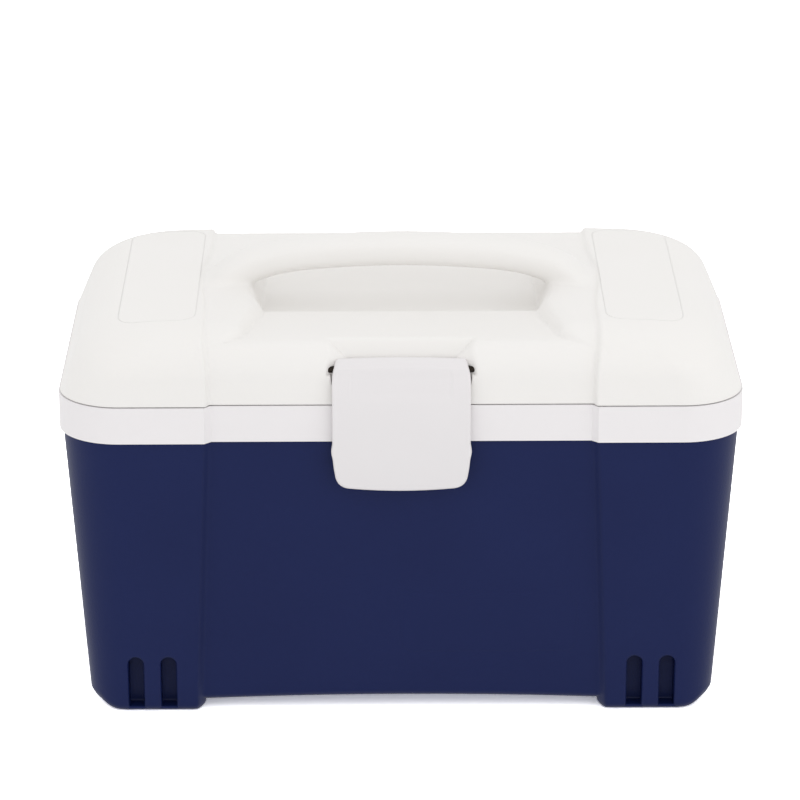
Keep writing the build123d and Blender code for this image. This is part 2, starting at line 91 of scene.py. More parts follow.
lightLook = {
    "worldColour": "#ffffff",
    "worldLow": 0.86, "worldHigh": 1.0,   # what lights the object, from horizon to zenith
    # soft boxes in front, to the right and left: m, W, m
    "keySize": (1.6, 1.2), "keyPower": 2.9, "keyPlace": (1.1, -1.2, 0.8),
    "fillSize": (1.6, 1.2), "fillPower": 0.9, "fillPlace": (-1.15, -1.1, 0.8),
    "lampAim": (0.0, 0.0, 0.12),          # m
    "floorColour": "#f4f4f4", "floorHalf": 12.0,
    # the camera sees the floor over-exposed, so that only the contact shadow shows
    "floorGain": 2.6, "floorLift": 0.24,
}


def rayTests(tree):
    # which rays come from the camera, and which are mirrored or refracted
    rays = addNode(tree, "ShaderNodeLightPath")
    mirrored = addNode(tree, "ShaderNodeMath", {"operation": "MAXIMUM"},
                       {0: (rays, "Is Glossy Ray"), 1: (rays, "Is Transmission Ray")})
    return rays, mirrored


def makeWorld(look):
    world = bpy.data.worlds.new("studio")
    bpy.context.scene.world = world
    world.use_nodes = True
    tree = world.node_tree
    tree.nodes.clear()
    rays, mirrored = rayTests(tree)
    seen = addNode(tree, "ShaderNodeMath", {"operation": "MAXIMUM"},
                   {0: (rays, "Is Camera Ray"), 1: (mirrored, 0)})
    place = addNode(tree, "ShaderNodeTexCoord")
    height = addNode(tree, "ShaderNodeSeparateXYZ", {}, {0: (place, "Generated")})
    dome = addNode(tree, "ShaderNodeMapRange",
                   {"To Min": look["worldLow"], "To Max": look["worldHigh"]},
                   {"Value": (height, "Z")})
    lit = addNode(tree, "ShaderNodeBackground", {"Color": hexToLinear(look["worldColour"])},
                  {"Strength": (dome, 0)})
    white = addNode(tree, "ShaderNodeBackground", {"Color": (1, 1, 1, 1), "Strength": 1.0})
    mixed = addNode(tree, "ShaderNodeMixShader", {},
                    {0: (seen, 0), 1: (lit, 0), 2: (white, 0)})
    addNode(tree, "ShaderNodeOutputWorld", {}, {"Surface": (mixed, 0)})


def makeLamp(name, size, power, place, aim):
    data = bpy.data.lights.new(name, "AREA")
    data.shape, data.size, data.size_y, data.energy = "RECTANGLE", *size, power
    lamp = bpy.data.objects.new(name, data)
    lamp.location = place
    lamp.rotation_mode = "QUATERNION"
    lamp.rotation_quaternion = (Vector(aim) - Vector(place)).to_track_quat("-Z", "Y")
    bpy.context.scene.collection.objects.link(lamp)


def makeFloor(look):
    # flat sheet; white to the camera except where the object shades it
    mesh = bpy.data.meshes.new("floor")
    half = look["floorHalf"]
    mesh.from_pydata([(-half, -half, 0), (half, -half, 0), (half, half, 0), (-half, half, 0)],
                     [], [(0, 1, 2, 3)])
    floor = bpy.data.objects.new("floor", mesh)
    bpy.context.scene.collection.objects.link(floor)
    paint = bpy.data.materials.new("paintedStudioFloor")
    paint.use_nodes = True
    tree = paint.node_tree
    tree.nodes.clear()
    rays, mirrored = rayTests(tree)
    matt = addNode(tree, "ShaderNodeBsdfDiffuse", {"Color": hexToLinear(look["floorColour"])})
    bright = addNode(tree, "ShaderNodeBsdfDiffuse", {"Color": (*[look["floorGain"]] * 3, 1.0)})
    lift = addNode(tree, "ShaderNodeEmission",
                   {"Color": (1, 1, 1, 1), "Strength": look["floorLift"]})
    white = addNode(tree, "ShaderNodeEmission", {"Color": (1, 1, 1, 1), "Strength": 1.0})
    lifted = addNode(tree, "ShaderNodeAddShader", {}, {0: (bright, 0), 1: (lift, 0)})
    direct = addNode(tree, "ShaderNodeMixShader", {},
                     {0: (rays, "Is Camera Ray"), 1: (matt, 0), 2: (lifted, 0)})
    mixed = addNode(tree, "ShaderNodeMixShader", {},
                    {0: (mirrored, 0), 1: (direct, 0), 2: (white, 0)})
    addNode(tree, "ShaderNodeOutputMaterial", {}, {"Surface": (mixed, 0)})
    mesh.materials.append(paint)


makeWorld(lightLook)
for side in ("key", "fill"):
    makeLamp(side, lightLook[side + "Size"], lightLook[side + "Power"],
             lightLook[side + "Place"], lightLook["lampAim"])
makeFloor(lightLook)
bpy.context.scene.view_settings.view_transform = "Standard"
print("camera, floor and lamps are in place")


def mouldedPlastic(name, look):
    # Injection-moulded polyolefin, and with a deeper grain rubber and foam: a soft satin skin.
    # The fine leather grain of the mould breaks up the highlight, and broad flow marks shift
    # the gloss a little. "mask" and "step" name values that the mesh carries.
    skin = bpy.data.materials.new(name)
    skin.use_nodes = True
    tree = skin.node_tree
    tree.nodes.clear()
    place = addNode(tree, "ShaderNodeTexCoord")
    # noise scale = 1 / (grain width in metres): grain cells of look["grainWidth"] mm
    grain = addNode(tree, "ShaderNodeTexNoise",
                    {"Scale": 1000.0 / look["grainWidth"], "Detail": 3.0, "Roughness": 0.6},
                    {"Vector": (place, "Object")})
    cells = addNode(tree, "ShaderNodeTexVoronoi",
                    {"feature": "SMOOTH_F1", "Scale": 1000.0 / (1.6 * look["grainWidth"]),
                     "Smoothness": 0.6},
                    {"Vector": (place, "Object")})
    rough = addNode(tree, "ShaderNodeMath", {"operation": "ADD"},
                    {0: (grain, "Fac"), 1: (cells, "Distance")})
    height = rough
    if "mask" in look:
        mask = addNode(tree, "ShaderNodeAttribute", {"attribute_name": look["mask"]})
        height = addNode(tree, "ShaderNodeMath", {"operation": "MULTIPLY"},
                         {0: (rough, 0), 1: (mask, "Fac")})
    bump = addNode(tree, "ShaderNodeBump",
                   {"Strength": look["grainStrength"], "Distance": look["grainDepth"] * mm},
                   {"Height": (height, 0)})
    if "step" in look:
        # a raised flat with a soft edge, by the distance in mm that the mesh carries
        edge = addNode(tree, "ShaderNodeAttribute", {"attribute_name": look["step"]})
        rise = addNode(tree, "ShaderNodeMapRange",
                       {"interpolation_type": "SMOOTHSTEP", "From Min": -look["stepWidth"] / 2,
                        "From Max": look["stepWidth"] / 2},
                       {"Value": (edge, "Fac")})
        bump = addNode(tree, "ShaderNodeBump",
                       {"Strength": 1.0, "Distance": look["stepHeight"] * mm},
                       {"Height": (rise, 0), "Normal": (bump, 0)})
    # flow marks: soft patches about look["flowWidth"] mm wide
    flow = addNode(tree, "ShaderNodeTexNoise",
                   {"Scale": 1000.0 / look["flowWidth"], "Detail": 2.0},
                   {"Vector": (place, "Object")})
    gloss = addNode(tree, "ShaderNodeMapRange",
                    {"To Min": look["roughness"] - 0.03, "To Max": look["roughness"] + 0.03},
                    {"Value": (flow, "Fac")})
    tint = addNode(tree, "ShaderNodeMix",
                   {"data_type": "RGBA", 6: hexToLinear(look["colour"]),
                    7: hexToLinear(look["shade"])},
                   {0: (flow, "Fac")})
    surface = addNode(tree, "ShaderNodeBsdfPrincipled",
                      {"IOR": look["ior"], "Specular IOR Level": look["specular"]},
                      {"Base Color": (tint, 2), "Roughness": (gloss, 0), "Normal": (bump, 0)})
    addNode(tree, "ShaderNodeOutputMaterial", {}, {"Surface": (surface, 0)})
    return skin


plasticLooks = {
    "navyMouldedPolypropylene": {
        "colour": "#152150", "shade": "#121d4a", "roughness": 0.43, "ior": 1.49, "specular": 0.17,
        "grainWidth": 0.7, "grainStrength": 0.35, "grainDepth": 0.12, "flowWidth": 60.0,
        "mask": "grain", "step": "panelEdge", "stepWidth": 1.6, "stepHeight": 0.2},
    "whiteGrainedPolypropylene": {
        "colour": "#f2f0ee", "shade": "#f0eeeb", "roughness": 0.45, "ior": 1.49, "specular": 0.3,
        "grainWidth": 0.7, "grainStrength": 0.3, "grainDepth": 0.1, "flowWidth": 60.0,
        "mask": "grain", "step": "panelEdge", "stepWidth": 1.1, "stepHeight": 0.5},
    "whiteSmoothPolypropylene": {
        "colour": "#f0edee", "shade": "#eeebec", "roughness": 0.38, "ior": 1.49, "specular": 0.3,
        "grainWidth": 0.5, "grainStrength": 0.06, "grainDepth": 0.05, "flowWidth": 60.0},
    # the white smooth plastic made a little darker: painted shade, so that the latch's front
    # looks less lit
    "latchPaintedShadePolypropylene": {
        "colour": "#e9e6e7", "shade": "#e7e4e5", "roughness": 0.36, "ior": 1.49, "specular": 0.3,
        "grainWidth": 0.5, "grainStrength": 0.06, "grainDepth": 0.05, "flowWidth": 60.0},
    "paleBluePolyethylene": {
        "colour": "#c6dcec", "shade": "#bcd5e8", "roughness": 0.4, "ior": 1.51, "specular": 0.5,
        "grainWidth": 0.9, "grainStrength": 0.15, "grainDepth": 0.1, "flowWidth": 30.0},
    "blueMouldedPolyethylene": {
        "colour": "#2f63a8", "shade": "#2a5a9c", "roughness": 0.4, "ior": 1.51, "specular": 0.5,
        "grainWidth": 0.6, "grainStrength": 0.15, "grainDepth": 0.08, "flowWidth": 20.0},
    "greyExtrudedSilicone": {
        "colour": "#c4c4c4", "shade": "#bbbbbb", "roughness": 0.6, "ior": 1.41, "specular": 0.4,
        "grainWidth": 0.6, "grainStrength": 0.12, "grainDepth": 0.05, "flowWidth": 20.0},
    "creamExpandedPolyurethane": {
        "colour": "#efe3c0", "shade": "#e4d5ac", "roughness": 0.9, "ior": 1.45, "specular": 0.2,
        "grainWidth": 1.2, "grainStrength": 0.6, "grainDepth": 0.4, "flowWidth": 15.0},
    "paleCutSponge": {
        "colour": "#dfe2e4", "shade": "#d2d6d9", "roughness": 0.95, "ior": 1.45, "specular": 0.1,
        "grainWidth": 1.3, "grainStrength": 0.9, "grainDepth": 0.6, "flowWidth": 12.0},
}
plastics = {name: mouldedPlastic(name, look) for name, look in plasticLooks.items()}


def drawnSteel(name, look):
    # Cold-drawn steel wire: fine lines along its length stretch the highlight across it.
    steel = bpy.data.materials.new(name)
    steel.use_nodes = True
    tree = steel.node_tree
    tree.nodes.clear()
    place = addNode(tree, "ShaderNodeTexCoord")
    # lines look["lineWidth"] mm wide and 50 times as long
    along = addNode(tree, "ShaderNodeMapping", {"Scale": (0.02, 1.0, 1.0)},
                    {"Vector": (place, "Object")})
    lines = addNode(tree, "ShaderNodeTexNoise",
                    {"Scale": 1000.0 / look["lineWidth"], "Detail": 2.0},
                    {"Vector": (along, "Vector")})
    gloss = addNode(tree, "ShaderNodeMapRange",
                    {"To Min": look["roughness"] - 0.06, "To Max": look["roughness"] + 0.1},
                    {"Value": (lines, "Fac")})
    surface = addNode(tree, "ShaderNodeBsdfPrincipled",
                      {"Base Color": hexToLinear(look["colour"]), "Metallic": 1.0},
                      {"Roughness": (gloss, 0)})
    addNode(tree, "ShaderNodeOutputMaterial", {}, {"Surface": (surface, 0)})
    return steel


steel = drawnSteel("drawnStainlessSteel",
                   {"colour": "#b8b8ba", "roughness": 0.3, "lineWidth": 0.3})
# The latch pin's near-black colour is painted shade: it darkens the gap beside the latch, where
# the pin sits in shadow.
pinShadeWire = drawnSteel("shadeDarkenedSteelWire",
                      {"colour": "#35302c", "roughness": 0.5, "lineWidth": 0.3})


def dress(name, material):
    for place in nodes[name].material_slots:
        place.material = material


finishes = {
    "navyMouldedPolypropylene": ["outer_shell"],
    "whiteGrainedPolypropylene": ["lid_shell"],
    "whiteSmoothPolypropylene": ["inner_liner", "lid_liner", "latch",
                                 "hinge_body_leaf_left", "hinge_body_leaf_right",
                                 "hinge_lid_leaf_left", "hinge_lid_leaf_right"],
    "greyExtrudedSilicone": ["lid_gasket"],
    "creamExpandedPolyurethane": ["body_foam", "lid_foam"],
    "paleCutSponge": ["vial_pad"],
    "paleBluePolyethylene": [n for n in nodes if n.startswith("ice_pack") and "cap" not in n],
    "blueMouldedPolyethylene": [n for n in nodes if n.startswith("ice_pack_cap")],
}
for finish, names in finishes.items():
    for name in names:
        dress(name, plastics[finish])
for name in ("hinge_pin_left", "hinge_pin_right", "hinge_body_screws", "hinge_lid_screws"):
    dress(name, steel)
# painted shade: the latch pin gets the near-black wire, so that the gap beside the latch looks
# dark
dress("latch_pin", pinShadeWire)
print("materials are on the carried-over pieces")


def smooth(value):
    # 3v^2 - 2v^3, held at 0 and 1 outside
    v = np.clip(value, 0, 1)
    return v * v * (3 - 2 * v)


def join(a, b, blend):
    # the larger of two fields, rounded off by a quarter of the blend where they are equal
    h = np.clip(0.5 + 0.5 * (a - b) / blend, 0, 1)
    return b + (a - b) * h + blend * h * (1 - h)


def cut(a, b, blend):
    # the smaller of two fields, rounded in the same way
    return -join(-a, -b, blend)


def curveThrough(places, values, at):
    # smooth curve through a few stations: cubic Hermite with finite-difference slopes
    p, v = np.array(places, float), np.array(values, float)
    m = np.gradient(v, p)
    m[0] = 0.0
    at = np.clip(at, p[0], p[-1])
    k = np.clip(np.searchsorted(p, at, side="right") - 1, 0, len(p) - 2)
    h = p[k + 1] - p[k]
    t = (at - p[k]) / h
    return ((1 + 2 * t) * (1 - t) ** 2 * v[k] + t * (1 - t) ** 2 * h * m[k]
            + t * t * (3 - 2 * t) * v[k + 1] + t * t * (t - 1) * h * m[k + 1])


def gradedAxis(stops, mirrored=True):
    # grid levels from stop to stop; each stop is (place, step from there on) in mm
    half = [np.linspace(a, b, max(round((b - a) / step), 1), endpoint=False)
            for (a, step), (b, _) in zip(stops, stops[1:])] + [[stops[-1][0]]]
    half = np.concatenate(half)
    return np.concatenate([-half[:0:-1], half]) if mirrored else half


def netFromField(field, axes):
    # surface net: one vertex in each cell that the zero level crosses, at the mean of the
    # crossings on its edges; one quad round each grid edge that changes sign
    grid = np.meshgrid(*axes, indexing="ij")
    value = field(*grid).astype(np.float32)
    solid = value > 0
    shape = tuple(n - 1 for n in value.shape)
    total = np.zeros(shape + (3,), np.float32)
    count = np.zeros(shape, np.float32)
    for axis in range(3):
        ahead = [slice(1, None) if k == axis else slice(None) for k in range(3)]
        behind = [slice(None, -1) if k == axis else slice(None) for k in range(3)]
        a, b = value[tuple(behind)], value[tuple(ahead)]
        crossed = solid[tuple(behind)] != solid[tuple(ahead)]
        share = np.where(crossed, a / np.where(crossed, a - b, 1), 0)
        others = [k for k in range(3) if k != axis]
        for da in (0, 1):
            for db in (0, 1):
                pick = [None] * 3
                pick[axis] = slice(None)
                pick[others[0]] = slice(da, da + shape[others[0]])
                pick[others[1]] = slice(db, db + shape[others[1]])
                hit = crossed[tuple(pick)]
                place = np.zeros(3, np.float32)
                place[others[0]], place[others[1]] = da, db
                total += hit[..., None] * place
                total[..., axis] += share[tuple(pick)]
                count += hit
    used = count > 0
    index = np.full(shape, -1)
    index[used] = np.arange(used.sum())
    corner = np.stack(np.nonzero(used), 1)
    along = total[used] / count[used][:, None]
    points = np.stack([a[corner[:, k]] * (1 - along[:, k]) + a[corner[:, k] + 1] * along[:, k]
                       for k, a in enumerate(axes)], 1)
    quads = []
    for axis in range(3):
        one, two = (axis + 1) % 3, (axis + 2) % 3
        inner = [slice(1, -1)] * 3
        inner[axis] = slice(None, -1)
        ahead = list(inner)
        ahead[axis] = slice(1, None)
        a, b = solid[tuple(inner)], solid[tuple(ahead)]
        spot = np.stack(np.nonzero(a != b), 1)
        leaving = a[tuple(spot.T)]
        base = spot.copy()
        base[:, one] += 1
        base[:, two] += 1
        around = []
        for d1, d2 in ((-1, -1), (0, -1), (0, 0), (-1, 0)):
            near = base.copy()
            near[:, one] += d1
            near[:, two] += d2
            around.append(index[tuple(near.T)])
        quad = np.stack(around, 1)
        quad[~leaving] = quad[~leaving][:, ::-1]
        quads.append(quad)
    return points, np.concatenate(quads)


def settle(field, points, rounds=3, step=0.05, reach=0.8):
    # Newton steps onto the zero level along the field's slope, none longer than about the reach
    for turn in range(rounds):
        value = field(*points.T)
        slope = np.stack([(field(*(points + e).T) - field(*(points - e).T)) / (2 * step)
                          for e in np.eye(3) * step], 1)
        steepness = np.maximum((slope ** 2).sum(1), 1e-4)
        points = points - np.clip(value / steepness, -reach, reach)[:, None] * slope
    return points


def insideRounded(u, v, halfU, halfV, corner):
    # distance inwards from the edge of a rounded rectangle, and how much that edge faces u
    qu, qv = np.abs(u) - halfU + corner, np.abs(v) - halfV + corner
    outU, outV = np.maximum(qu, 0), np.maximum(qv, 0)
    span = np.hypot(outU, outV)
    inset = corner - span - np.minimum(np.maximum(qu, qv), 0)
    share = np.where(span > 1e-6, (outU / np.maximum(span, 1e-6)) ** 2, qu > qv)
    return inset, share


lidLook = {
    "low": 177.9, "height": 39.0,              # mm above the ground, mm above the lid's own edge
    "halfX": 179.7, "halfY": 105.7,
    "sideLean": 22.0, "endLean": 4.0,          # degrees
    "round": 26.0,
    "corner": 32.7, "cornerGrowth": 27.0,      # plan radius at the edge, and how much it gains
    "crown": 1.0, "crownFrom": 95.0, "crownRun": 50.0,
    "wall": 3.0, "foamLow": 181.5, "foamGap": 0.4,
    "recess": 3.5, "recessHalf": 100.75, "recessRamp": 2.6, "recessDrop": 2.0,
    "ridgeShift": 2.25, "ridgeFrom": 13.0, "ridgeRun": 26.0,
    "rootShift": 3.7, "rootRun": 60.0,
    "ledge": 30.8, "ledgeDepth": 8.0, "ledgeBlend": 3.0,
    "ridge": 29.3, "ridgeY": 38.0, "backRidge": 37.6, "backRidgeY": 66.0,
    "backRise": 5.0, "backRun": 12.0,
    "well": 22.0, "wellY": 20.0,
    "flankFoot": ((0, 20, 38, 50, 64, 76, 85, 91, 96, 120),
                  (75.0, 74.0, 73.0, 74.6, 77.9, 80.6, 83.4, 90.0, 99.7, 130.0)),
    "flankAcross": ((0, 21, 52, 73, 90, 120), (9.0, 9.0, 8.0, 7.0, 6.0, 6.0)),
    "flankBulge": 2.0, "flankLift": 0.2, "flankBeyond": 0.6,
    "pocketHalf": 38.5, "pocketBack": 90.4, "pocketFloor": 10.7, "pocketLean": 0.55,
    "pinFloor": 15.3, "pinFrom": 36.1, "pinStep": 0.8,
    "pocketTop": 22.0, "pocketTaper": 1.1, "taperFrom": 10.0, "taperRun": 9.0, "pocketBlend": 1.6,
    "handleBlend": 4.0,
    "panelX": 127.75, "panelHalf": 20.25, "panelY": 79.0, "panelCorner": 10.0,
    "panelFade": 1.5, "stripFade": 3.0,
    "grainTop": 14.6,                          # smooth skin above this on the strip's walls
    # inner side of the edge, (inwards, up) in mm: under the wall, up, and in to the cap
    "skirt": ((3.0, 0.0), (0.0, 4.0), (12.0, 0.0)),
    "cell": 1.25,
}
handleLook = {
    # height of the top and the underside above the rim, by distance from the middle, mm
    "top": ((0, 20, 40, 54, 70, 86, 93, 100, 106, 114),
            (62.2, 61.8, 60.7, 59.5, 56.6, 51.6, 47.6, 42.2, 36.0, 25.0)),
    "under": ((0, 20, 40, 54, 70, 80, 86, 92, 100, 114),
              (45.2, 44.8, 43.6, 42.3, 39.0, 35.0, 31.8, 27.8, 20.5, 5.0)),
    "halfDepth": 12.0, "flareFrom": 74.0, "flareTo": 108.0, "flare": 7.0,
    "end": 110.0, "square": 2.5,
    "rim": 177.3,
}


def planInset(look, x, y, z):
    # the lid's edge from above is a rounded rectangle whose corners grow with height
    growth = np.clip(z / look["height"], 0, 1) ** 2
    corner = look["corner"] + look["cornerGrowth"] * growth
    return insideRounded(x, y, look["halfX"], look["halfY"], corner)


def stripEdge(look, z):
    # half-width of the recessed strip, which shifts outwards with height
    return look["recessHalf"] + look["ridgeShift"] * smooth(
        (z - look["ridgeFrom"]) / look["ridgeRun"])


def pillow(look, inset, share, z, drawnIn, dropped):
    # leaning wall, flat top and the circle that touches both, in the plane across the wall
    lean = np.radians(look["endLean"] + (look["sideLean"] - look["endLean"]) * share)
    c, s = np.cos(lean), np.sin(lean)
    u, radius = inset - drawnIn, look["round"] - dropped
    top = look["height"] - dropped
    middleZ = top - radius
    middleU = (radius + middleZ * s) / c
    wedge = ((u - middleU) * s + (z - middleZ) * c > 0) & (u < middleU)
    flat = np.minimum(u * c - z * s, top - z)
    return np.where(wedge, radius - np.hypot(u - middleU, z - middleZ), flat)


def deckHeight(look, y):
    # S-curves: ledge to ridge in front, and down to the finger well from both sides; behind
    # the well it only has to rise above the strip's own flat top
    away = np.abs(y)
    inner = (look["halfY"] - look["recess"] - look["ledgeDepth"]
             - look["ledge"] * math.tan(math.radians(look["endLean"])))
    front = look["ledge"] + (look["ridge"] - look["ledge"]) * smooth(
        (inner - away) / (inner - look["ridgeY"]))
    behind = look["backRidge"] + look["backRise"] * smooth(
        (away - look["backRidgeY"]) / look["backRun"])
    outer = np.where(y < 0, front, behind)
    brink = np.where(y < 0, look["ridgeY"], look["backRidgeY"])
    return look["well"] + (outer - look["well"]) * smooth(
        (away - look["wellY"]) / (brink - look["wellY"]))


def handleField(look, x, y, z):
    # bar along the X axis with a rounded-square section, whose power is 2.5 where an ellipse
    # has 2: 1 minus the distance from its middle in half-widths, turned into mm by its slope
    away = np.abs(x)
    top = curveThrough(*look["top"], away) + look["rim"]
    under = curveThrough(*look["under"], away) + look["rim"]
    slope = curveThrough(*look["top"], away + 0.5) - curveThrough(*look["top"], away - 0.5)
    middle, half = (top + under) / 2, (top - under) / 2
    depth = look["halfDepth"] + look["flare"] * smooth(
        (away - look["flareFrom"]) / (look["flareTo"] - look["flareFrom"]))
    p, q = y / depth, (z - middle) / half
    power = look["square"]
    size = np.maximum((np.abs(p) ** power + np.abs(q) ** power) ** (1 / power), 1e-3)
    pull = np.hypot(p / depth, q / half * np.sqrt(1 + slope ** 2)) / size
    return (1 - size) / np.maximum(pull, 1e-3) - np.maximum(away - look["end"], 0)


def lidBody(look, x, y, high):
    # the lid without its handle: positive inside, about the distance to the skin in mm
    z = np.maximum(high - look["low"], 0)
    away, back = np.abs(x), np.abs(y)
    inset, share = planInset(look, x, y, z)
    crown = look["crown"] * smooth((away - look["crownFrom"]) / look["crownRun"])
    shoulder = pillow(look, inset, share, z + crown, 0.0, 0.0)
    strip = pillow(look, inset, share, z, look["recess"], look["recessDrop"])
    edge = stripEdge(look, z) + look["rootShift"] * smooth(1 - back / look["rootRun"])
    within = 1 - smooth((away - edge) / look["recessRamp"] + 0.5)
    body = shoulder + (strip - shoulder) * within
    # between the pillars: deck, and the convex flank that climbs from it to the pillar's top
    deck = deckHeight(look, y)
    foot = curveThrough(*look["flankFoot"], back)
    across = curveThrough(*look["flankAcross"], back)
    over = (away - foot) / across
    climb = 1 - (1 - np.clip(over, 0, 1)) ** look["flankBulge"]
    pillarTop = look["height"] - look["recessDrop"] + look["flankLift"]
    rise = (deck + (pillarTop - deck) * climb
            + np.maximum(over - 1, 0) * across * look["flankBeyond"])
    steep = np.hypot(1, (pillarTop - deck) / across * np.clip(1 - over, 0, 1)
                     * look["flankBulge"] * (over > 0))
    body = cut(body, (rise - z) / steep, look["ledgeBlend"])
    # pocket for the latch: its back leans away above the latch, its sides close in there
    above = np.maximum(z - look["pocketTop"], 0)
    wide = look["pocketHalf"] - look["pocketTaper"] * np.clip(
        look["ledge"] - z, 0, look["ledge"] - look["pocketTop"]) * smooth(
        (y + look["pocketBack"] + look["taperFrom"]) / look["taperRun"])
    floor = look["pocketFloor"] + (look["pinFloor"] - look["pocketFloor"]) * smooth(
        (away - look["pinFrom"]) / look["pinStep"])
    hollow = np.minimum(np.minimum(wide - away, z - floor),
                        -y - look["pocketBack"] + look["pocketLean"] * above)
    return cut(body, -hollow, look["pocketBlend"])


def lidField(look, handle, x, y, high):
    # the larger of the body's and the handle's field, blended where they meet
    return join(lidBody(look, x, y, high), handleField(handle, x, y, high), look["handleBlend"])


def makeMesh(name, points, faces, material, body, values=None):
    # points are in mm; values are extra numbers that the mesh carries at its points
    mesh = bpy.data.meshes.new(name)
    mesh.from_pydata((points * mm).tolist(), [], faces.tolist())
    for key, each in (values or {}).items():
        layer = mesh.attributes.new(key, "FLOAT", "POINT")
        layer.data.foreach_set("value", each.astype(np.float32).ravel())
    mesh.materials.append(material)
    piece = bpy.data.objects.new(name, mesh)
    bpy.context.scene.collection.objects.link(piece)
    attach(piece, body)
    return piece


def shadeSmooth(mesh, sharpAbove=50):
    mesh.polygons.foreach_set("use_smooth", np.ones(len(mesh.polygons), bool))
    mesh.set_sharp_from_angle(angle=math.radians(sharpAbove))


def readArray(items, key, width, kind):
    values = np.empty(len(items) * width, kind)
    items.foreach_get(key, values)
    return values.reshape(-1, width) if width > 1 else values


def closeSkirt(mesh, level, steps, below=True):
    # trims a skin below (or above) a level, then adds bands of quads, where each point of the
    # rim moves by (inwards, up) in mm along its own normal, and a flat cap
    work = bmesh.new()
    work.from_mesh(mesh)
    bmesh.ops.bisect_plane(work, geom=work.verts[:] + work.edges[:] + work.faces[:],
                           dist=0.05 * mm, plane_co=(0, 0, level * mm), plane_no=(0, 0, 1),
                           clear_inner=below, clear_outer=not below)
    work.to_mesh(mesh)
    work.free()
    place = readArray(mesh.vertices, "co", 3, np.float32)
    normal = readArray(mesh.vertex_normals, "vector", 3, np.float32)
    corner = readArray(mesh.loops, "vertex_index", 1, np.int32)
    edge = readArray(mesh.loops, "edge_index", 1, np.int32)
    start = readArray(mesh.polygons, "loop_start", 1, np.int32)
    # rim edges have one face; each runs from a corner of that face to the next
    after = np.arange(1, len(corner) + 1)
    after[np.append(start[1:], len(corner)) - 1] = start
    single = np.bincount(edge)[edge] == 1
    ring, ends = np.unique(np.stack([corner[single], corner[after[single]]]),
                           return_inverse=True)
    tail, head = ends.reshape(2, -1)
    place[ring, 2] = level * mm
    inwards = -normal[ring] * (1, 1, 0)
    inwards /= np.linalg.norm(inwards, axis=1, keepdims=True)
    moves = np.array([inwards * aside + (0, 0, up) for aside, up in steps]) * mm
    rings = place[ring] + np.cumsum(moves, axis=0)
    number = np.concatenate([ring, len(place) + np.arange(rings[..., 0].size)])
    number = number.reshape(len(steps) + 1, -1)
    bands = np.stack([number[:-1, head], number[:-1, tail],
                      number[1:, tail], number[1:, head]], -1)
    # the cap needs the rim's points in order: known ones jump ahead, twice as far each time
    jump = np.empty_like(tail)
    jump[tail] = head
    order = tail[:1]
    while len(order) < len(ring):
        order = np.append(order, jump[order])
        jump = jump[jump]
    cap = number[-1, order[:len(ring)][::-1]]
    values = {layer.name: readArray(layer.data, "value", 1, np.float32)
              for layer in mesh.attributes if layer.data_type == "FLOAT"}
    mesh.vertices.add(rings[..., 0].size)
    mesh.vertices.foreach_set("co", np.concatenate([place, rings.reshape(-1, 3)]).ravel())
    for key, each in values.items():
        each = np.concatenate([each, np.tile(each[ring], len(steps))])
        mesh.attributes[key].data.foreach_set("value", each)
    mesh.loops.add(bands.size + cap.size)
    mesh.loops.foreach_set("vertex_index", np.concatenate([corner, bands.ravel(), cap]))
    mesh.polygons.add(bands[..., 0].size + 1)
    more = len(corner) + 4 * np.arange(bands[..., 0].size + 1)
    mesh.polygons.foreach_set("loop_start", np.concatenate([start, more]))
    mesh.update(calc_edges=True)


def makeLidCover(look, handle):
    def field(x, y, z):
        return lidField(look, handle, x, y, z)

    cell = look["cell"]
    # finer levels across the pocket's sides and the strip's edge
    points, faces = netFromField(field, (
        gradedAxis(((0, 1.6), (33, 0.6), (41, 1.6), (96, 1.0), (108, 1.6), (176, 1.0), (182, 0))),
        gradedAxis(((0, cell), (108, 0))),
        gradedAxis(((look["low"] - 2.3 * cell, cell), (242, 0)), False)))
    points = settle(field, points)
    away, z = np.abs(points[:, 0]), points[:, 2] - look["low"]
    # the smooth panel on each shoulder is a rounded rectangle from above
    panel = insideRounded(away - look["panelX"], points[:, 1], look["panelHalf"], look["panelY"],
                          look["panelCorner"])[0]
    onStrip = 1 - smooth((away - stripEdge(look, z)) / look["stripFade"])
    grained = np.where(z < look["grainTop"], 1.0, 1 - onStrip)
    grained = grained * (1 - smooth(panel / look["panelFade"] + 0.5))
    cover = makeMesh("lid_cover", points, faces, plastics["whiteGrainedPolypropylene"], "lid",
                     {"grain": grained, "panelEdge": panel})
    closeSkirt(cover.data, look["low"], look["skirt"])
    shadeSmooth(cover.data)
    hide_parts("lid_shell")


makeLidCover(lidLook, handleLook)
print("lid cover with its handle is made")


def makeLidFoam(look):
    # the foam fills the cover: the cover's own shape drawn in by its wall
    def field(x, y, z):
        inside = lidBody(look, x, y, z) - look["wall"] - look["foamGap"]
        return np.minimum(inside, z - look["foamLow"])

    points, faces = netFromField(field, (
        gradedAxis(((0, 2.5), (180, 0))), gradedAxis(((0, 2.5), (106, 0))),
        gradedAxis(((look["foamLow"] - 1, 2.5), (218, 0)), False)))
    points = settle(field, points)
    foam = makeMesh("lid_foam_block", points, faces, plastics["creamExpandedPolyurethane"],
                    "lid")
    shadeSmooth(foam.data)
    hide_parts("lid_foam")


makeLidFoam(lidLook)
print("lid foam is made")

